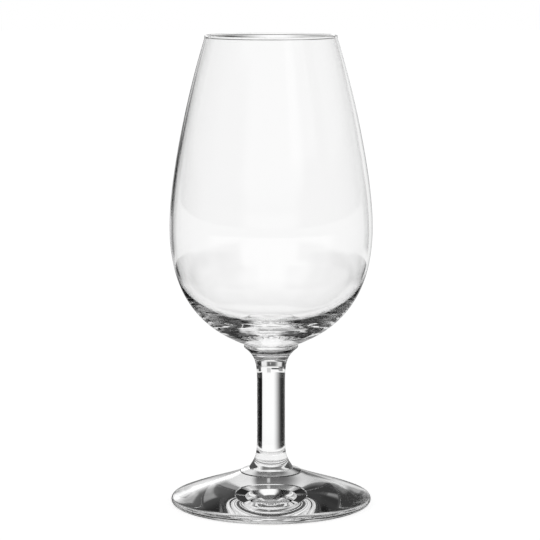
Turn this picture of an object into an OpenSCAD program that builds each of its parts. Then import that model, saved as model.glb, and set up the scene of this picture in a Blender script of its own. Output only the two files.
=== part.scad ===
// Stemmed nosing glass: a blown tulip bowl on a pressed stem and a pressed foot.
// Every piece is turned about the Z axis, with the centre of the resting plane at the origin.

/* [Bowl] */
// Height of the bowl, from the edge of its seat on the stem to the top of the rim
bowl_h = 101.9; // [90:0.1:115]
// Outer diameter of the wall at the mouth, just under the rim bead
mouth_d = 43.4; // [38:0.1:50]
// Outer diameter of the belly, the widest part of the bowl
belly_d = 66.8; // [58:0.1:76]
// Height of the belly above the edge of the seat
belly_h = 38.8; // [32:0.1:46]
// Wall thickness at the mouth
mouth_wall = 0.85; // [0.7:0.05:0.95]
// Wall thickness at the belly
belly_wall = 1.15; // [0.9:0.05:2]
// Thickness of the solid base on the axis
base_t = 7.8; // [6.5:0.1:10]
// Thickness of the fire-polished bead that rounds off the rim
bead_d = 1.1; // [1:0.05:1.5]

/* [Seat of the bowl] */
// Diameter of the seat, where the bowl's round base meets the stem's collar
seat_d = 17.3; // [15:0.1:20]
// Slope of the bowl's underside at the edge of the seat, in degrees
seat_slope = 27; // [18:1:34]

/* [Stem] */
// Height of the stem, from the top of the foot's hub to the edge of the seat
stem_h = 41.8; // [34:0.1:60]
// Diameter of the straight part of the stem
stem_d = 9.4; // [8:0.1:10.5]
// Radius of the collar's rounded lip
lip_r = 0.7; // [0.4:0.05:1]
// Height of the trumpet, from the straight part of the stem to the edge of the seat
collar_h = 12.8; // [9:0.1:16]
// Slope of the trumpet where it runs into the lip, in degrees
collar_slope = 37; // [28:1:50]
// Height of the flare at the stem's lower end
flare_h = 9.1; // [6:0.1:13]
// Diameter of the flare where it lands on the hub
flare_d = 14.5; // [12:0.1:17]
// Slope of the flare at its lower end, in degrees
flare_slope = 66; // [50:1:80]
// Height of the upright edge around the flare's end
flare_edge = 0.3; // [0.1:0.05:0.6]

/* [Foot] */
// Diameter of the foot
foot_d = 66.5; // [58:0.1:76]
// Thickness of the foot's rounded edge
edge_t = 2.1; // [1.6:0.1:3]
// Height of the middle of the hub, where the stem stands, above the table
hub_h = 11.3; // [9:0.1:14]
// Diameter of the hub
hub_d = 20.7; // [18:0.1:24]
// Fall of the hub's upper face, from the stem's flare to the top of the hub's step
hub_fall = 0.8; // [0.4:0.05:1.2]
// Height of the small step that runs around the hub
hub_step = 0.3; // [0.1:0.05:0.5]
// Slope of the foot's upper face next to its rounded edge, in degrees
edge_slope = 23; // [16:1:28]
// Slope of the foot's upper face next to the hub, in degrees
hub_slope = 24; // [16:1:30]
// Width of the flat ring that the glass rests on
ring_w = 3.4; // [2:0.1:6]
// Depth of the hollow under the foot, on the axis
hollow_h = 0.7; // [0.4:0.1:2]

/* [Hidden] */

// Colour of clear glass against a white ground
glass = "gainsboro";

// Radii that follow from the diameters above
mouth_r = mouth_d / 2;
belly_r = belly_d / 2;
bead_r = bead_d / 2;
seat_r = seat_d / 2;
stem_r = stem_d / 2;
flare_r = flare_d / 2;
foot_r = foot_d / 2;
edge_r = edge_t / 2;
hub_r = hub_d / 2;

// Heights above the table
seat_z = hub_h + stem_h;
total_h = seat_z + bowl_h;
belly_z = seat_z + belly_h;
bead_z = total_h - bead_r;
collar_z = seat_z - collar_h;
flare_z = hub_h + flare_h;

// The bowl's underside is a shallow cap of a sphere, met at the seat's edge at the slope given above
cap_r = seat_r / sin(seat_slope);
cap_z = seat_z + cap_r * cos(seat_slope);
base_z = cap_z - cap_r;
floor_z = base_z + base_t;

// Angle below level at which the round bead leaves the wall on either side
bead_angle = acos(mouth_wall / bead_d);
wall_top_z = bead_z - bead_r * sin(bead_angle);

// Lengths of the curves' handles, as shares of the heights and widths that the curves span
mouth_lean_share = 0.42;
mouth_handle_share = 0.25;
belly_top_share = 0.275;
belly_low_share = 0.78;
seat_handle_share = 0.25;
floor_drop_share = 0.8;
floor_flat_share = 0.59;
trumpet_low_share = 0.42;
trumpet_top_share = 0.44;
flare_top_share = 0.7;
flare_low_share = 0.24;
face_handle_share = 0.33;

// Straight steps along a long curve, a short curve and a small round edge
long_steps = 18;
short_steps = 12;
edge_steps = 8;

$fn = 96;

function mix(a, b, t) = a + (b - a) * t;

// Point at share t of the cubic curve from p0 to p3, which is pulled towards p1 and p2
function curve_point(p0, p1, p2, p3, t) =
    let (a = mix(p0, p1, t), b = mix(p1, p2, t), c = mix(p2, p3, t))
    mix(mix(a, b, t), mix(b, c, t), t);

function curve(p0, p1, p2, p3, steps) =
    [for (i = [0 : steps]) curve_point(p0, p1, p2, p3, i / steps)];

// Point at a distance from a centre, at an angle above level
function polar(centre, radius, angle) =
    centre + radius * [cos(angle), sin(angle)];

function arc(centre, radius, from, to, steps) =
    [for (i = [0 : steps]) polar(centre, radius, mix(from, to, i / steps))];

function reversed(points) =
    [for (i = [len(points) - 1 : -1 : 0]) points[i]];

function without_last(points) =
    [for (i = [0 : len(points) - 2]) points[i]];

// Underside of the bowl, from the axis out to the edge of the seat. The stem's collar has the same
// points for its top, so the two pieces meet over the whole seat.
function seat_face() =
    arc([0, cap_z], cap_r, -90, seat_slope - 90, edge_steps);

// Side of the bowl from the mouth down to the belly, for the outer or the inner face
function upper_side(top_r, widest_r) =
    let (rise = wall_top_z - belly_z)
    curve([top_r, wall_top_z],
          [top_r + mouth_lean_share * (widest_r - top_r), wall_top_z - mouth_handle_share * rise],
          [widest_r, belly_z + belly_top_share * rise],
          [widest_r, belly_z],
          long_steps);

// Outer side of the bowl from the edge of the seat up to the belly
function lower_side() =
    curve([seat_r, seat_z],
          polar([seat_r, seat_z], seat_handle_share * (belly_r - seat_r), seat_slope),
          [belly_r, belly_z - belly_low_share * belly_h],
          [belly_r, belly_z],
          long_steps);

// Inside of the bowl from the belly down to the floor on the axis
function inner_bottom(widest_r) =
    let (drop = belly_z - floor_z)
    curve([widest_r, belly_z],
          [widest_r, belly_z - floor_drop_share * drop],
          [floor_flat_share * widest_r, floor_z],
          [0, floor_z],
          long_steps);

function bead() =
    arc([mouth_r - mouth_wall / 2, bead_z], bead_r, -bead_angle, 180 + bead_angle, edge_steps + edge_steps);

function bowl_outline() = concat(
    without_last(seat_face()),
    without_last(lower_side()),
    without_last(reversed(upper_side(mouth_r, belly_r))),
    without_last(bead()),
    without_last(upper_side(mouth_r - mouth_wall, belly_r - belly_wall)),
    inner_bottom(belly_r - belly_wall));

// The lip starts at the edge of the seat, 60 degrees up from its centre, and turns down to the trumpet
lip_start = 60;
lip_centre = polar([seat_r, seat_z], -lip_r, lip_start);
lip_end = polar(lip_centre, lip_r, collar_slope - 90);

// Trumpet under the bowl, from the straight part of the stem up to the lip
function trumpet() =
    let (reach = lip_end[1] - collar_z)
    curve([stem_r, collar_z],
          [stem_r, collar_z + trumpet_low_share * reach],
          polar(lip_end, -trumpet_top_share * reach, collar_slope),
          lip_end,
          short_steps);

// Flare that widens the stem towards the foot
function flare() =
    let (low = [flare_r, hub_h + flare_edge], reach = flare_z - hub_h - flare_edge)
    curve(low,
          polar(low, flare_low_share * reach, 180 - flare_slope),
          [stem_r, flare_z - flare_top_share * reach],
          [stem_r, flare_z],
          short_steps);

function stem_outline() = concat(
    [[0, hub_h], [flare_r, hub_h]],
    flare(),
    without_last(trumpet()),
    without_last(arc(lip_centre, lip_r, collar_slope - 90, lip_start, edge_steps)),
    reversed(seat_face()));

// Upper face of the foot, from the rounded edge up to the step around the hub
edge_centre = [foot_r - edge_r, edge_r];
face_start = polar(edge_centre, edge_r, 90 - edge_slope);
face_end = [hub_r, hub_h - hub_fall - hub_step];

function upper_face() =
    let (handle = face_handle_share * (face_start[0] - face_end[0]))
    curve(face_start,
          polar(face_start, handle, 180 - edge_slope),
          polar(face_end, -handle, 180 - hub_slope),
          face_end,
          short_steps);

// Hollow under the foot, a cap of a large sphere inside the resting ring
ring_r = foot_r - edge_r - ring_w;
hollow_r = (ring_r * ring_r + hollow_h * hollow_h) / (2 * hollow_h);
hollow_angle = asin(ring_r / hollow_r);

function hollow() =
    arc([0, hollow_h - hollow_r], hollow_r, 90, 90 - hollow_angle, short_steps);

function foot_outline() = concat(
    hollow(),
    without_last(arc(edge_centre, edge_r, -90, 90 - edge_slope, edge_steps)),
    upper_face(),
    [[hub_r - hub_step, hub_h - hub_fall], [flare_r, hub_h], [0, hub_h]]);

module bowl() {
    color(glass)
        rotate_extrude()
            polygon(bowl_outline());
}

module stem() {
    color(glass)
        rotate_extrude()
            polygon(stem_outline());
}

module foot() {
    color(glass)
        rotate_extrude()
            polygon(foot_outline());
}

bowl();
stem();
foot();
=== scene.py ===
"""Studio picture of a stemmed nosing glass: a blown bowl, a pressed stem and a pressed foot, fused hot.

Lengths in the classes are real millimetres, and angles are degrees. The meshes are in metres, and the glass
stands on the origin.
"""

import logging
import math
from dataclasses import dataclass
from enum import Enum

import bmesh
import bpy
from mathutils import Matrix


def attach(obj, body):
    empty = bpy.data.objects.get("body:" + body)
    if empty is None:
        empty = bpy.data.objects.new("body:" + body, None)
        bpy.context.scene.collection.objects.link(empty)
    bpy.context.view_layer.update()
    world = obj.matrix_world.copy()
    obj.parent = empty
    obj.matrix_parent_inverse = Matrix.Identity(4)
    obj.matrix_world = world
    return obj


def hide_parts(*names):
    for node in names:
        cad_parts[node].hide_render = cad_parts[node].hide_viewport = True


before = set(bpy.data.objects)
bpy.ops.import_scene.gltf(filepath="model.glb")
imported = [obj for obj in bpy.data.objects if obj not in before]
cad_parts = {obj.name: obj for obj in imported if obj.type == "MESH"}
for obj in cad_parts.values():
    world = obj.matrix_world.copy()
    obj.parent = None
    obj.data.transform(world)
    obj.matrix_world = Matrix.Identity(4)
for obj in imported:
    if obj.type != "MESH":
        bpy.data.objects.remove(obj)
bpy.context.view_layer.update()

LOG = logging.getLogger("nosing_glass")
MM = 0.001
BODY = "root"
LIGHT_BOUNCES = 24
MERGE_MM = 0.0001
ON_BAND_MM = 0.002
ALL_ROUND = 180.0
WHITE = (1.0, 1.0, 1.0, 1.0)
BLACK = (0.0, 0.0, 0.0, 1.0)
SMOOTH = {"interpolation_type": "SMOOTHSTEP"}

# Places of the two number sockets of a Mix node
MIX_FIRST = 2
MIX_SECOND = 3

Point = tuple[float, float]


class Part(Enum):
    """The three pieces of glass, by their names in the solid model."""

    BOWL = "bowl"
    STEM = "stem"
    FOOT = "foot"


class Surface(Enum):
    """What a face of a piece is, which sets its place in the list of materials."""

    POLISHED = 0
    FUSED = 1


def polar(centre: Point, radius: float, degrees: float) -> Point:
    """Point at a distance from a centre, at an angle above level."""
    angle = math.radians(degrees)
    return centre[0] + radius * math.cos(angle), centre[1] + radius * math.sin(angle)


def arc(centre: Point, radius: float, start: float, end: float, steps: int) -> list[Point]:
    """Points along a round arc, both ends included.

    Args:
        centre: centre of the arc.
        radius: its radius.
        start: angle of the first point above level, in degrees.
        end: angle of the last point above level, in degrees.
        steps: number of straight steps.

    Returns:
        The points, one more than there are steps.
    """
    return [polar(centre, radius, start + (end - start) * i / steps) for i in range(steps + 1)]


def curve(p0: Point, p1: Point, p2: Point, p3: Point, steps: int) -> list[Point]:
    """Points along the cubic curve from p0 to p3 that is pulled towards p1 and p2.

    Args:
        p0: first point.
        p1: handle of the first point.
        p2: handle of the last point.
        p3: last point.
        steps: number of straight steps.

    Returns:
        The points, one more than there are steps.
    """
    points = []
    for i in range(steps + 1):
        t = i / steps
        shares = ((1 - t) ** 3, 3 * t * (1 - t) ** 2, 3 * t * t * (1 - t), t ** 3)
        points.append(tuple(sum(s * p[k] for s, p in zip(shares, (p0, p1, p2, p3))) for k in (0, 1)))
    return points


@dataclass(frozen=True)
class Turning:
    """How finely the pieces are turned, and the angle in degrees past which an edge is left sharp."""

    around: int = 160
    long_steps: int = 48
    short_steps: int = 24
    edge_steps: int = 12
    crease: float = 14.0


TURNING = Turning()


@dataclass(frozen=True)
class Seat:
    """The cap of a sphere over which the bowl's base and the stem's collar are fused."""

    radius: float = 8.65
    slope: float = 27.0
    height: float = 53.1

    @property
    def cap_radius(self) -> float:
        """Radius of the sphere."""
        return self.radius / math.sin(math.radians(self.slope))

    @property
    def cap_centre(self) -> Point:
        """Centre of the sphere, on the glass's axis."""
        return 0.0, self.height + self.cap_radius * math.cos(math.radians(self.slope))

    @property
    def base_height(self) -> float:
        """Height of the lowest point of the bowl."""
        return self.cap_centre[1] - self.cap_radius

    def face(self) -> list[Point]:
        """The seat from the axis out to its edge."""
        return arc(self.cap_centre, self.cap_radius, -90, self.slope - 90, TURNING.edge_steps)


SEAT = Seat()


def linear(code: str) -> tuple[float, float, float, float]:
    """Turns an sRGB hex colour into Blender's linear colour.

    Args:
        code: the colour, as a hash sign and six hex digits.

    Returns:
        Red, green, blue and a full alpha.
    """
    values = [int(code[i : i + 2], 16) / 255 for i in (1, 3, 5)]
    red, green, blue = (v / 12.92 if v <= 0.04045 else ((v + 0.055) / 1.055) ** 2.4 for v in values)
    return red, green, blue, 1.0


def add(
    tree: bpy.types.NodeTree,
    kind: str,
    *inputs: object,
    values: dict[str | int, object] | None = None,
    **settings: object,
) -> bpy.types.Node:
    """Adds a node with its settings, values and links.

    Args:
        tree: node tree that gets the node.
        kind: the node's type, without its leading "ShaderNode".
        inputs: for the first sockets in order: a node, a socket, a value, or None to leave one alone.
        values: the same for other sockets, by name or place.
        settings: properties of the node by name.

    Returns:
        The new node.
    """
    node = tree.nodes.new("ShaderNode" + kind)
    for name, value in settings.items():
        setattr(node, name, value)
    for key, value in [*enumerate(inputs), *(values or {}).items()]:
        source = value.outputs[0] if isinstance(value, bpy.types.Node) else value
        if isinstance(source, bpy.types.NodeSocket):
            tree.links.new(source, node.inputs[key])
        elif source is not None:
            node.inputs[key].default_value = source
    return node


def new_material(name: str) -> bpy.types.Material:
    """Makes a material with an empty node tree.

    Args:
        name: its name.

    Returns:
        The material.
    """
    made = bpy.data.materials.new(name)
    made.use_nodes = True
    made.node_tree.nodes.clear()
    return made


@dataclass(frozen=True)
class ChillRings:
    """Rings that are left where the hot glass met the cooler mould, and that fade out up the wall.

    Real rings lie a millimetre or less apart. These are drawn about three apart, as finer ones wouldn't
    show in the render.
    """

    spacing_mm: float = 3.0
    depth_mm: float = 0.12
    detail: float = 0.5
    wander_mm: float = 2.5
    wander_length_mm: float = 40.0
    full_below_mm: float = 62.0
    gone_above_mm: float = 69.0

    def bump(
        self, tree: bpy.types.NodeTree, place: bpy.types.NodeSocket, smooth: bpy.types.Node
    ) -> bpy.types.Node:
        """Adds the rings to a surface.

        Args:
            tree: node tree of the material.
            place: place on the piece, in metres.
            smooth: the surface's normal without the rings.

        Returns:
            The node with the new normal.
        """
        x, y, z = add(tree, "SeparateXYZ", place).outputs
        flat = add(tree, "CombineXYZ", x, y, 0.0)
        radius = add(tree, "VectorMath", flat, operation="LENGTH").outputs["Value"]
        slow = {"Scale": 1 / (self.wander_length_mm * MM), "Detail": 0.0}
        wander = add(tree, "TexNoise", place, values=slow)
        off = add(tree, "Math", wander, self.wander_mm * MM, operation="MULTIPLY")
        along = add(tree, "Math", radius, off, operation="ADD")
        up = add(tree, "Math", z, off, operation="ADD")
        fine = {"Scale": 1 / (self.spacing_mm * MM), "Detail": self.detail}
        rings = add(tree, "TexNoise", add(tree, "CombineXYZ", along, 0.0, up), values=fine)
        start = self.full_below_mm * MM
        end = self.gone_above_mm * MM
        fading = add(tree, "MapRange", z, start, end, 1.0, 0.0, **SMOOTH)
        height = add(tree, "Math", rings, fading, operation="MULTIPLY")
        return add(
            tree, "Bump", values={"Distance": self.depth_mm * MM, "Height": height, "Normal": smooth}
        )


@dataclass(frozen=True)
class ClearGlass:
    """Clear soda-lime glass, with the marks that its making has left in the surface."""

    name: str
    tint: str = "#fefefe"
    ior: float = 1.52
    roughness: float = 0.0
    wave_mm: float = 14.0
    wave_depth_mm: float = 0.004
    wave_detail: float = 1.0
    wave_roughness: float = 0.4
    wave_squash: float = 1.0
    chill: ChillRings | None = None

    def material(self) -> bpy.types.Material:
        """Makes glass that swells a little, with chill rings where it has them.

        Returns:
            The material.
        """
        made = new_material(self.name)
        tree = made.node_tree
        place = add(tree, "TexCoord").outputs["Object"]
        squashed = add(tree, "Mapping", place, values={"Scale": (1.0, 1.0, self.wave_squash)})
        swell = add(
            tree,
            "TexNoise",
            squashed,
            values={
                "Scale": 1 / (self.wave_mm * MM),
                "Detail": self.wave_detail,
                "Roughness": self.wave_roughness,
            },
        )
        normal = add(tree, "Bump", values={"Distance": self.wave_depth_mm * MM, "Height": swell})
        if self.chill:
            normal = self.chill.bump(tree, place, normal)
        glass = add(
            tree,
            "BsdfPrincipled",
            values={
                "Base Color": linear(self.tint),
                "Roughness": self.roughness,
                "IOR": self.ior,
                "Transmission Weight": 1.0,
                "Normal": normal,
            },
        )
        add(tree, "OutputMaterial", glass)
        return made


# Glass that was blown in a turning mould. Its swells lie level round the wall and bend the reflections
# softly, and its chill rings break the light over the solid base into fine bands.
BLOWN = ClearGlass("blown_soda_lime_glass", wave_squash=3.0, chill=ChillRings())

# Glass that was pressed as a rod. Shallow waves let the dark and bright lines down the stem waver a little.
PRESSED = ClearGlass("pressed_soda_lime_glass")

# Glass that was pressed as a disc and trimmed at its edge while hot. The same shallow waves stir the foot's
# reflections, so that its cone and its rings look melted and not machined.
PRESSED_AND_TRIMMED = ClearGlass("pressed_and_trimmed_soda_lime_glass")


@dataclass(frozen=True)
class FusedSeam:
    """The face where two pieces have melted into one.

    To the eye there is nothing, as light passes straight on.
    """

    name: str = "fused_glass_seam"

    def material(self) -> bpy.types.Material:
        """Makes a face that can't be seen.

        Returns:
            The material.
        """
        made = new_material(self.name)
        add(made.node_tree, "OutputMaterial", add(made.node_tree, "BsdfTransparent"))
        return made


class GlassPiece:
    """What the three pieces share: a name in the solid model, a finish, and the way they are dressed."""

    part: Part
    finish: ClearGlass

    def dress(self, piece: bpy.types.Object, seam: bpy.types.Material) -> bpy.types.Object:
        """Gives the piece its glass and its seam, hangs it on the body and hides the solid model's part that
        it stands for.

        Args:
            piece: the piece's object.
            seam: material of the faces that are fused to another piece.

        Returns:
            The same object.
        """
        piece.data.materials.append(self.finish.material())
        piece.data.materials.append(seam)
        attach(piece, BODY)
        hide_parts(self.part.value)
        return piece


def spin_outline(name: str, outline: list[Point], fused: list[bool]) -> bpy.types.Object:
    """Turns an outline about the Z axis into a closed mesh.

    Args:
        name: name of the piece.
        outline: points of radius and height in mm, from the axis round to the axis.
        fused: for each stretch between two points, whether it lies inside the joined glass.

    Returns:
        The new object, linked to the scene, with smooth faces and sharp creases.
    """
    mesh = bmesh.new()
    points = [mesh.verts.new((r * MM, 0.0, z * MM)) for r, z in outline]
    lines = [mesh.edges.new(pair) for pair in zip(points, points[1:])]
    bmesh.ops.spin(
        mesh,
        geom=points + lines,
        cent=(0, 0, 0),
        axis=(0, 0, 1),
        dvec=(0, 0, 0),
        angle=math.tau,
        steps=TURNING.around,
        use_merge=True,
        use_duplicate=False,
    )
    bmesh.ops.remove_doubles(mesh, verts=mesh.verts[:], dist=MERGE_MM * MM)
    bmesh.ops.dissolve_degenerate(mesh, edges=mesh.edges[:], dist=MERGE_MM * MM / 10)
    bmesh.ops.recalc_face_normals(mesh, faces=mesh.faces[:])
    fused_bands = [(outline[i], outline[i + 1]) for i, inside in enumerate(fused) if inside]
    for face in mesh.faces:
        face.smooth = True
        if lies_on_band(face, fused_bands):
            face.material_index = Surface.FUSED.value
    for edge in mesh.edges:
        edge.smooth = len(edge.link_faces) == 2 and edge.calc_face_angle(0.0) < math.radians(TURNING.crease)
    data = bpy.data.meshes.new(name)
    mesh.to_mesh(data)
    mesh.free()
    piece = bpy.data.objects.new(name, data)
    bpy.context.scene.collection.objects.link(piece)
    return piece


def lies_on_band(face: bmesh.types.BMFace, bands: list[tuple[Point, Point]]) -> bool:
    """Finds whether a turned face came from one of the given stretches of the outline.

    Args:
        face: the face.
        bands: the two ends of each stretch, in mm.

    Returns:
        True where every corner of the face lies on the same stretch.
    """
    corners = [(math.hypot(v.co.x, v.co.y) / MM, v.co.z / MM) for v in face.verts]
    slack = ON_BAND_MM
    for a, b in bands:
        low_r, high_r = sorted((a[0], b[0]))
        low_z, high_z = sorted((a[1], b[1]))
        if all(
            low_r - slack <= r <= high_r + slack and low_z - slack <= z <= high_z + slack
            for r, z in corners
        ):
            return True
    return False


@dataclass
class Bowl(GlassPiece):
    """The blown cup: thin wall, solid base and fire-polished rim."""

    height: float = 101.9
    mouth_radius: float = 21.7
    belly_radius: float = 33.4
    belly_above_seat: float = 38.8
    mouth_wall: float = 0.85
    belly_wall: float = 1.15
    base_thickness: float = 7.8
    bead_radius: float = 0.55
    mouth_lean: float = 0.42
    mouth_handle: float = 0.25
    belly_top_handle: float = 0.275
    belly_low_handle: float = 0.78
    seat_handle: float = 0.25
    floor_drop: float = 0.8
    floor_flat: float = 0.59
    part = Part.BOWL
    finish = BLOWN

    @property
    def belly_height(self) -> float:
        """Height of the belly above the table."""
        return SEAT.height + self.belly_above_seat

    @property
    def bead_centre(self) -> Point:
        """Centre of the round bead at the rim."""
        return self.mouth_radius - self.mouth_wall / 2, SEAT.height + self.height - self.bead_radius

    @property
    def bead_angle(self) -> float:
        """Angle below level at which the bead leaves the wall."""
        return math.degrees(math.acos(self.mouth_wall / (2 * self.bead_radius)))

    @property
    def wall_top(self) -> float:
        """Height at which the wall runs into the bead."""
        return self.bead_centre[1] - self.bead_radius * math.sin(math.radians(self.bead_angle))

    @property
    def floor_height(self) -> float:
        """Height of the middle of the bowl's floor."""
        return SEAT.base_height + self.base_thickness

    def upper_side(self, top: float, widest: float) -> list[Point]:
        """Draws the side from the mouth down to the belly, for the outer or the inner face.

        Args:
            top: radius of the face at the mouth.
            widest: its radius at the belly.

        Returns:
            The points.
        """
        rise = self.wall_top - self.belly_height
        return curve(
            (top, self.wall_top),
            (top + self.mouth_lean * (widest - top), self.wall_top - self.mouth_handle * rise),
            (widest, self.belly_height + self.belly_top_handle * rise),
            (widest, self.belly_height),
            TURNING.long_steps,
        )

    def lower_side(self) -> list[Point]:
        """Draws the outer side from the edge of the seat up to the belly.

        Returns:
            The points.
        """
        edge = (SEAT.radius, SEAT.height)
        return curve(
            edge,
            polar(edge, self.seat_handle * (self.belly_radius - SEAT.radius), SEAT.slope),
            (self.belly_radius, self.belly_height - self.belly_low_handle * self.belly_above_seat),
            (self.belly_radius, self.belly_height),
            TURNING.long_steps,
        )

    def inner_bottom(self) -> list[Point]:
        """Draws the inside from the belly down to the floor on the axis.

        Returns:
            The points.
        """
        widest = self.belly_radius - self.belly_wall
        drop = self.belly_height - self.floor_height
        return curve(
            (widest, self.belly_height),
            (widest, self.belly_height - self.floor_drop * drop),
            (self.floor_flat * widest, self.floor_height),
            (0.0, self.floor_height),
            TURNING.long_steps,
        )

    def build(self) -> bpy.types.Object:
        """Turns the bowl's outline, with its seat marked as fused glass.

        Returns:
            The bowl's object.
        """
        seat = SEAT.face()
        bead_end = 180 + self.bead_angle
        bead = arc(self.bead_centre, self.bead_radius, -self.bead_angle, bead_end, 2 * TURNING.edge_steps)
        outline = (
            seat[:-1]
            + self.lower_side()[:-1]
            + self.upper_side(self.mouth_radius, self.belly_radius)[::-1][:-1]
            + bead[:-1]
            + self.upper_side(self.mouth_radius - self.mouth_wall, self.belly_radius - self.belly_wall)[:-1]
            + self.inner_bottom()
        )
        fused = [i < len(seat) - 1 for i in range(len(outline) - 1)]
        return spin_outline(Part.BOWL.value + "_blown", outline, fused)


@dataclass
class Stem(GlassPiece):
    """The pressed rod, with a trumpet collar under the bowl and a flare on the foot."""

    radius: float = 4.7
    lip_radius: float = 0.7
    lip_start: float = 60.0
    collar_height: float = 12.8
    collar_slope: float = 37.0
    trumpet_low: float = 0.42
    trumpet_top: float = 0.44
    flare_height: float = 9.1
    flare_radius: float = 7.25
    flare_slope: float = 66.0
    flare_edge: float = 0.3
    flare_top: float = 0.7
    flare_low: float = 0.24
    part = Part.STEM
    finish = PRESSED

    @property
    def lip_centre(self) -> Point:
        """Centre of the collar's rounded lip."""
        return polar((SEAT.radius, SEAT.height), -self.lip_radius, self.lip_start)

    def trumpet(self) -> list[Point]:
        """Draws the trumpet from the straight part of the stem up to the lip.

        Returns:
            The points.
        """
        start = (self.radius, SEAT.height - self.collar_height)
        end = polar(self.lip_centre, self.lip_radius, self.collar_slope - 90)
        reach = end[1] - start[1]
        return curve(
            start,
            (self.radius, start[1] + self.trumpet_low * reach),
            polar(end, -self.trumpet_top * reach, self.collar_slope),
            end,
            TURNING.short_steps,
        )

    def flare(self, hub_top: float) -> list[Point]:
        """Draws the flare from the foot's hub up to the straight part of the stem.

        Args:
            hub_top: height of the hub above the table.

        Returns:
            The points.
        """
        low = (self.flare_radius, hub_top + self.flare_edge)
        high = hub_top + self.flare_height
        reach = high - low[1]
        return curve(
            low,
            polar(low, self.flare_low * reach, 180 - self.flare_slope),
            (self.radius, high - self.flare_top * reach),
            (self.radius, high),
            TURNING.short_steps,
        )

    def build(self, hub_top: float) -> bpy.types.Object:
        """Turns the stem's outline, with both its ends marked as fused glass.

        Args:
            hub_top: height of the foot's hub, on which the stem stands.

        Returns:
            The stem's object.
        """
        seat = SEAT.face()[::-1]
        lip_end = self.collar_slope - 90
        lip = arc(self.lip_centre, self.lip_radius, lip_end, self.lip_start, TURNING.edge_steps)
        landing = [(0.0, hub_top), (self.flare_radius, hub_top)]
        body = landing + self.flare(hub_top) + self.trumpet()[:-1] + lip[:-1]
        outline = body + seat
        fused = [i == 0 or i >= len(body) for i in range(len(outline) - 1)]
        return spin_outline(Part.STEM.value + "_pressed", outline, fused)


@dataclass
class Foot(GlassPiece):
    """The pressed disc: hub, cone, rounded edge, resting ring and shallow hollow."""

    radius: float = 33.25
    edge_radius: float = 1.05
    hub_top: float = 11.3
    hub_radius: float = 10.35
    hub_fall: float = 0.8
    hub_step: float = 0.3
    edge_slope: float = 23.0
    hub_slope: float = 24.0
    face_handle: float = 0.33
    ring_width: float = 3.4
    hollow_height: float = 0.7
    part = Part.FOOT
    finish = PRESSED_AND_TRIMMED

    @property
    def edge_centre(self) -> Point:
        """Centre of the foot's rounded edge."""
        return self.radius - self.edge_radius, self.edge_radius

    def hollow(self) -> list[Point]:
        """Draws the hollow under the foot, from the axis out to the resting ring.

        Returns:
            The points.
        """
        ring = self.radius - self.edge_radius - self.ring_width
        sphere = (ring * ring + self.hollow_height ** 2) / (2 * self.hollow_height)
        angle = math.degrees(math.asin(ring / sphere))
        return arc((0.0, self.hollow_height - sphere), sphere, 90, 90 - angle, TURNING.long_steps)

    def upper_face(self) -> list[Point]:
        """Draws the cone from the rounded edge up to the step around the hub.

        Returns:
            The points.
        """
        start = polar(self.edge_centre, self.edge_radius, 90 - self.edge_slope)
        end = (self.hub_radius, self.hub_top - self.hub_fall - self.hub_step)
        handle = self.face_handle * (start[0] - end[0])
        return curve(
            start,
            polar(start, handle, 180 - self.edge_slope),
            polar(end, -handle, 180 - self.hub_slope),
            end,
            TURNING.long_steps,
        )

    def build(self, flare_radius: float) -> bpy.types.Object:
        """Turns the foot's outline, with the stem's landing marked as fused glass.

        Args:
            flare_radius: radius of the stem's lower end.

        Returns:
            The foot's object.
        """
        edge = arc(self.edge_centre, self.edge_radius, -90, 90 - self.edge_slope, TURNING.edge_steps)
        outline = (
            self.hollow()
            + edge[:-1]
            + self.upper_face()
            + [
                (self.hub_radius - self.hub_step, self.hub_top - self.hub_fall),
                (flare_radius, self.hub_top),
                (0.0, self.hub_top),
            ]
        )
        fused = [i == len(outline) - 2 for i in range(len(outline) - 1)]
        return spin_outline(Part.FOOT.value + "_pressed", outline, fused)


@dataclass(frozen=True)
class Panel:
    """A soft-edged sheet of light, or a dark flag, as it is seen from the glass.

    It is placed by its degrees round the glass, from straight behind it towards its right. Its start and end
    are degrees of rise for a panel in the room, and mm from the glass for one on the table, where it is
    painted light or painted shade on the table top. Its level is a share of white, and each blur is how far
    an edge fades to either side of its place.
    """

    name: str
    towards: float
    half_width: float
    start: float
    end: float
    level: float
    side_blur: float = 4.0
    end_blur: float = 3.0


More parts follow.
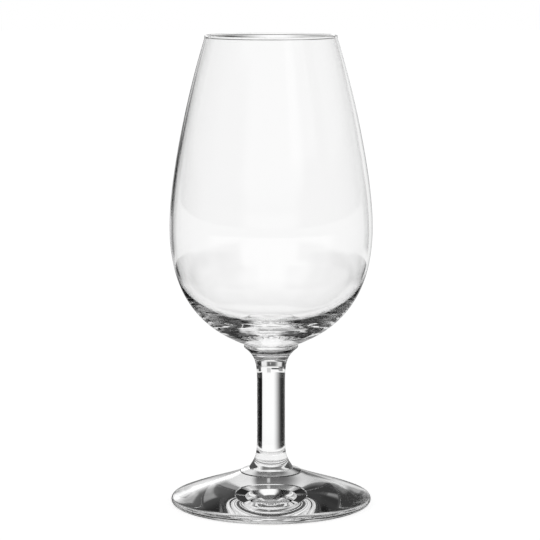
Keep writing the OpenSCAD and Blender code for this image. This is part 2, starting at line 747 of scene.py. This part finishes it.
@dataclass
class Studio:
    """White sweep, and the sheets and flags that the glass sees round it.

    The eye sees the sweep alone. Light through the glass shows the room and the table, and light off it shows
    the two lists for mirrored light. The table's panels are painted light and painted shade on the table top,
    which only the glass sees. In a list, each panel lies over the ones before it.
    """

    camera_back: float = 769.2
    camera_height: float = 186.23
    camera_pitch: float = 8.022
    lens: float = 157.1
    sensor: float = 36.0
    far_clip: float = 100000.0
    sideways_pixels: float = -1.05
    image_pixels: float = 540.0
    floor_size: float = 8000.0
    floor_gap: float = 0.05
    paper: str = "#f4f4f4"
    seen_floor: float = 0.73
    room_level: float = 0.35
    sweep: float = 1.0
    both_walls_above: float = 3.5
    steep_light: float = 0.965
    low_light: float = 0.99
    flags_clear_below: float = 6.0
    flags_full_above: float = 10.0
    room: tuple[Panel, ...] = (
        Panel("far flag on the left", -33, 8, -9, 3, 0.02, 6, 1),
        Panel("far flag on the right", 41, 8, -9, 3, 0.05, 3, 1),
        Panel("walls", 0, 200, 3, 99, 0.16, 1, 1),
        Panel("ceiling", 0, 200, 50, 99, 0.08, 1, 4),
        Panel("middle of the ceiling", 0, 200, 67, 99, 0.3, 1, 3),
        Panel("wall behind the camera", 180, 58, 3, 58, 1.0, 12, 8),
        Panel("low sheet in front on the left", -120, 25, 3, 24, 0.2, 6, 4),
        Panel("flag on the left", -84, 18, 3, 60, 0.04, 5, 6),
        Panel("slit on the left", -62, 5, 3, 40, 0.3, 5, 4),
        Panel("flag at the back on the left", -44, 16, 3, 60, 0.03, 5, 6),
        Panel("back sheet on the left", -21, 12, 3, 21, 0.8, 4, 3),
        Panel("flag over the back sheet on the left", -27, 12, 23, 68, 0.01, 4, 3),
        Panel("back sheet, lower part", 0, 13, 3, 21, 0.15, 8, 3),
        Panel("back sheet, upper part", 0, 15, 20, 27, 0.85, 5, 3),
        Panel("gap over the back sheet", 0, 5, 29, 34, 0.1, 3, 1),
        Panel("strip overhead", 5, 14, 27, 50, 1.1, 5, 2),
        Panel("back sheet on the right", 21, 10, 3, 25, 0.9, 3, 3),
        Panel("slit between the back sheets", 1.5, 0.7, 7, 15, 0.6, 0.6, 3),
        Panel("flag at the back on the right", 46, 18, 3, 38, 0.02, 3, 6),
        Panel("slit on the right", 60, 5, 3, 30, 0.3, 5, 4),
        Panel("sheet on the right", 88, 17, 3, 26, 0.4, 10, 4),
        Panel("top of the sheet on the right", 96, 22, 26, 50, 0.2, 12, 6),
        Panel("flag in front on the right", 122, 18, 3, 34, 0.02, 6, 6),
        Panel("low flag on the right", 98, 50, -3, 8, 0.02, 8, 2),
        Panel("low flag on the left", -98, 50, -3, 8, 0.08, 8, 2),
    )
    # Painted light and painted shade on the table top, seen only through the glass: each flag and line here
    # is a dark patch painted on the table, not a card that stands there, the light under the stem is a
    # painted pool of light, and the shade under the foot is a painted shadow.
    table: tuple[Panel, ...] = (
        Panel("far flag on the left", -33, 8, 500, 9000, 0.3, 6, 60),
        Panel("line behind the left edge", -13, 12, 900, 9000, 0.01, 1, 60),
        Panel("line behind the right edge", 6, 5, 380, 9000, 0.6, 0.6, 60),
        Panel("far flag on the right", 41, 8, 500, 9000, 0.05, 3, 60),
        Panel("near flag on the left", -50, 28, 48, 400, 0.01, 17, 6),
        Panel("near flag on the right", 51, 23, 48, 400, 0.0, 2, 6),
        Panel("near flag in front on the left", -135, 28, 52, 240, 0.3, 5, 8),
        Panel("near flag in front on the right", 135, 28, 52, 240, 0.12, 5, 8),
        Panel("side flag on the right", 100, 35, 240, 400, 0.03, 8, 40),
        Panel("side flag on the left", -100, 35, 240, 400, 0.08, 8, 40),
        Panel("far side flag on the right", 100, 50, 3000, 9000, 0.03, 8, 500),
        Panel("far side flag on the left", -100, 50, 3000, 9000, 0.08, 8, 500),
        Panel("light under the stem", 0, 200, -9, 14, 0.95, 1, 3),
        Panel("shade under the foot", 0, 200, 14, 36, 0.6, 1, 3),
        Panel("shade under the foot, back", 0, 52, 14, 36, 0.04, 14, 3),
    )
    room_mirror: tuple[Panel, ...] = (
        Panel("dark beside the back sheet", -60, 30, -9, 6, 0.03, 8, 2),
        Panel("foot of the back sheet", 4, 12, -9, 6, 1.0, 3, 1),
        Panel("box at the back on the left", -13, 8, 9, 19, 3.9, 3, 7),
        Panel("box at the back", 5, 8, 5, 14, 0.6, 3, 5),
        Panel("flag at the back on the right", 14, 10, 14, 40, 0.05, 3, 5),
        Panel("wall on the right", 38, 14, -9, 40, 0.7, 5, 2),
        Panel("flag over the back", 0, 60, 40, 60, 0.02, 8, 4),
        Panel("strip in front on the right", 138, 18, 13, 45, 0.9, 3, 2),
    )
    # Painted reflection on the table top, seen only off the glass: the table shows dark there, and each sweep
    # is a brighter patch painted on it.
    table_mirror: tuple[Panel, ...] = (
        Panel("sweep at the back", 3, 22, 50, 9000, 0.5, 4, 9),
        Panel("sweep on the right", 38, 14, 300, 9000, 0.6, 5, 60),
        Panel("sweep in front", 180, 70, 110, 900, 1.0, 10, 30),
    )
    room_reflection: float = 0.35
    table_reflection: float = 0.03

    def camera(self) -> None:
        """Puts the camera at the photograph's angle."""
        data = bpy.data.cameras.new("camera")
        data.lens = self.lens
        data.sensor_width = self.sensor
        data.shift_x = self.sideways_pixels / self.image_pixels
        data.clip_end = self.far_clip * MM
        camera = bpy.data.objects.new("camera", data)
        camera.location = (0, -self.camera_back * MM, self.camera_height * MM)
        camera.rotation_euler = (math.radians(90 - self.camera_pitch), 0, 0)
        bpy.context.scene.collection.objects.link(camera)
        bpy.context.scene.camera = camera

    def sideways_share(
        self, tree: bpy.types.NodeTree, turned: bpy.types.Node, panel: Panel
    ) -> bpy.types.NodeSocket:
        """Finds whether a ray or a place lies between the two sides of a panel.

        Args:
            tree: node tree that gets the nodes.
            turned: level direction towards the ray or the place.
            panel: the panel.

        Returns:
            The socket with the share, from 0 outside to 1 inside.
        """
        angle = math.radians(panel.towards)
        middle = (math.sin(angle), math.cos(angle), 0.0)
        facing = add(tree, "VectorMath", turned, middle, operation="DOT_PRODUCT").outputs["Value"]
        outer = math.cos(math.radians(panel.half_width + panel.side_blur))
        inner = math.cos(math.radians(panel.half_width - panel.side_blur))
        return add(tree, "MapRange", facing, outer, inner, **SMOOTH).outputs["Result"]

    def layout(
        self,
        tree: bpy.types.NodeTree,
        way: bpy.types.NodeSocket,
        along: bpy.types.Node,
        ground: float,
        panels: tuple[Panel, ...],
    ) -> bpy.types.Node:
        """Lays panels one over another.

        Args:
            tree: node tree that gets the nodes.
            way: direction of a ray, or place on the table.
            along: degrees of rise, or mm from the glass.
            ground: level where there is no panel.
            panels: the panels, the lowest first.

        Returns:
            The node with the level of light.
        """
        flat = add(tree, "VectorMath", way, (1.0, 1.0, 0.0), operation="MULTIPLY")
        turned = add(tree, "VectorMath", flat, operation="NORMALIZE")
        level: object = ground
        for panel in panels:
            blur = panel.end_blur
            begun = add(tree, "MapRange", along, panel.start - blur, panel.start + blur, **SMOOTH)
            ended = add(tree, "MapRange", along, panel.end - blur, panel.end + blur, 1.0, 0.0, **SMOOTH)
            share = add(tree, "Math", begun, ended, operation="MULTIPLY")
            if panel.half_width < ALL_ROUND:
                inside = self.sideways_share(tree, turned, panel)
                share = add(tree, "Math", share, inside, operation="MULTIPLY")
            levels = {MIX_FIRST: level, MIX_SECOND: panel.level}
            level = add(tree, "Mix", share, values=levels, label=panel.name)
        return level

    def paths(
        self, tree: bpy.types.NodeTree
    ) -> tuple[bpy.types.NodeSocket, bpy.types.NodeSocket, bpy.types.Node]:
        """Tells rays apart by how they came.

        Args:
            tree: node tree that gets the nodes.

        Returns:
            The shares of rays straight from the eye, through glass, and off it.
        """
        path = add(tree, "LightPath")
        through = path.outputs["Is Transmission Ray"]
        outside = add(tree, "Math", 1.0, through, operation="SUBTRACT")
        mirrored = add(tree, "Math", path.outputs["Is Glossy Ray"], outside, operation="MULTIPLY")
        return path.outputs["Is Camera Ray"], through, mirrored

    def clear_behind_bowl(
        self, tree: bpy.types.NodeTree, level: bpy.types.Node, kept: object
    ) -> bpy.types.Node:
        """Puts the plain sweep behind light that has crossed both walls of the bowl.

        Each wall has two faces, so it has crossed four. The walls are too thin to bend it much, and flags
        would stand in the bowl as dark patches.

        Args:
            tree: node tree that gets the nodes.
            level: level with the flags in it.
            kept: share of such light that sees the flags all the same.

        Returns:
            The node with the level.
        """
        faces = add(tree, "LightPath").outputs["Transmission Depth"]
        both = add(tree, "Math", faces, self.both_walls_above, operation="GREATER_THAN")
        open_share = add(tree, "Math", 1.0, kept, operation="SUBTRACT")
        share = add(tree, "Math", both, open_share, operation="MULTIPLY")
        return add(tree, "Mix", share, values={MIX_FIRST: level, MIX_SECOND: self.sweep})

    def total(self, tree: bpy.types.NodeTree, *terms: tuple[object, object]) -> bpy.types.Node:
        """Adds up products.

        Args:
            tree: node tree that gets the nodes.
            terms: pairs of levels or nodes that are multiplied.

        Returns:
            The node with the sum.
        """
        result = add(tree, "Math", *terms[0], operation="MULTIPLY")
        for first, second in terms[1:]:
            result = add(tree, "Math", first, second, result, operation="MULTIPLY_ADD")
        return result

    def table_light(
        self,
        tree: bpy.types.NodeTree,
        place: bpy.types.NodeSocket,
        seen: bpy.types.NodeSocket,
        through: bpy.types.NodeSocket,
        mirrored: bpy.types.Node,
    ) -> bpy.types.Node:
        """Sets the level of light that the table top sends to the eye and to the glass: an even glow to the
        eye, and painted light and painted shade to the glass.

        Its flags show in light that runs low over the table, as at the photograph's angle. Light that falls
        steeply from the glass finds the plain sweep, so the mouth stays clear from above.

        Args:
            tree: node tree that gets the nodes.
            place: place on the table, in metres from the glass's axis.
            seen: share of rays straight from the eye.
            through: share of rays through glass.
            mirrored: share of rays off glass.

        Returns:
            The node with the level.
        """
        away = add(tree, "VectorMath", place, operation="LENGTH").outputs["Value"]
        distance = add(tree, "Math", away, 1 / MM, operation="MULTIPLY")
        slant = add(tree, "Math", away, add(tree, "LightPath").outputs["Ray Length"], operation="DIVIDE")
        low = add(tree, "MapRange", slant, self.steep_light, self.low_light)
        # The table's flags are patches of painted shade on its top, and its light and shade under the glass
        # are painted too.
        flagged = self.layout(tree, place, distance, self.sweep, self.table)
        lit = add(tree, "Mix", low, values={MIX_FIRST: self.sweep, MIX_SECOND: flagged})
        return self.total(
            tree,
            (seen, self.seen_floor),
            (through, self.clear_behind_bowl(tree, lit, 0.0)),
            (mirrored, self.layout(tree, place, distance, self.table_reflection, self.table_mirror)),
        )

    def floor(self) -> None:
        """Makes the pale table top, which keeps the shadow of the glass and glows to the glass with painted
        light and painted shade.
        """
        mesh = bmesh.new()
        bmesh.ops.create_grid(mesh, x_segments=1, y_segments=1, size=self.floor_size * MM / 2)
        bmesh.ops.translate(mesh, verts=mesh.verts[:], vec=(0, 0, -self.floor_gap * MM))
        data = bpy.data.meshes.new("floor")
        mesh.to_mesh(data)
        mesh.free()
        # White paper in a sweep, matt and even to the eye, so that the eye finds nothing on it but the soft
        # shadow. To the glass it glows instead with painted light, painted shade and painted reflection.
        made = new_material("white_sweep_with_painted_light_and_shade")
        tree = made.node_tree
        place = add(tree, "TexCoord").outputs["Object"]
        seen, through, mirrored = self.paths(tree)
        glow = add(tree, "Emission", WHITE, self.table_light(tree, place, seen, through, mirrored))
        paper = add(tree, "BsdfDiffuse", linear(self.paper))
        # To the glass the paper takes no light, so the glass sees only the painted light and shade of the
        # glow.
        black = add(tree, "BsdfDiffuse", BLACK)
        to_glass = add(tree, "Math", through, mirrored, operation="MAXIMUM")
        surface = add(tree, "MixShader", to_glass, paper, black)
        add(tree, "OutputMaterial", add(tree, "AddShader", glow, surface))
        data.materials.append(made)
        floor = bpy.data.objects.new("floor", data)
        bpy.context.scene.collection.objects.link(floor)

    def world(self) -> None:
        """Makes the room: white to the eye, sheets and flags to the glass, and a plain light on the floor.

        Behind both walls of the bowl, the flags show only where they stand high enough over the table.
        """
        world = bpy.data.worlds.new("studio")
        bpy.context.scene.world = world
        world.use_nodes = True
        tree = world.node_tree
        tree.nodes.clear()
        way = add(tree, "TexCoord").outputs["Generated"]
        up = add(tree, "SeparateXYZ", way).outputs["Z"]
        rise = add(tree, "Math", add(tree, "Math", up, operation="ARCSINE"), operation="DEGREES")
        seen, through, mirrored = self.paths(tree)
        flagged = self.layout(tree, way, rise, self.sweep, self.room)
        kept = add(tree, "MapRange", rise, self.flags_clear_below, self.flags_full_above)
        level = self.total(
            tree,
            (seen, self.sweep),
            (through, self.clear_behind_bowl(tree, flagged, kept)),
            (mirrored, self.layout(tree, way, rise, self.room_reflection, self.room_mirror)),
            (add(tree, "LightPath").outputs["Is Diffuse Ray"], self.room_level),
        )
        add(tree, "OutputWorld", add(tree, "Background", WHITE, level))

    def build(self) -> None:
        """Makes the camera, the table and the room."""
        self.camera()
        self.floor()
        self.world()


def set_light_paths() -> None:
    """Lets light cross the many faces of the joined glass, and keeps colours as they are written."""
    scene = bpy.context.scene
    scene.view_settings.view_transform = "Standard"
    scene.cycles.max_bounces = LIGHT_BOUNCES
    scene.cycles.transmission_bounces = LIGHT_BOUNCES
    scene.cycles.glossy_bounces = LIGHT_BOUNCES
    scene.cycles.transparent_max_bounces = LIGHT_BOUNCES


def main() -> None:
    """Builds and dresses the glass, then the studio."""
    logging.basicConfig(level=logging.INFO, format="%(message)s")
    foot = Foot()
    stem = Stem()
    bowl = Bowl()
    seam = FusedSeam().material()
    pieces = (
        bowl.dress(bowl.build(), seam),
        stem.dress(stem.build(foot.hub_top), seam),
        foot.dress(foot.build(stem.flare_radius), seam),
    )
    for piece in pieces:
        LOG.info("%s: %d faces", piece.name, len(piece.data.polygons))
    Studio().build()
    set_light_paths()


if __name__ == "__main__":
    main()
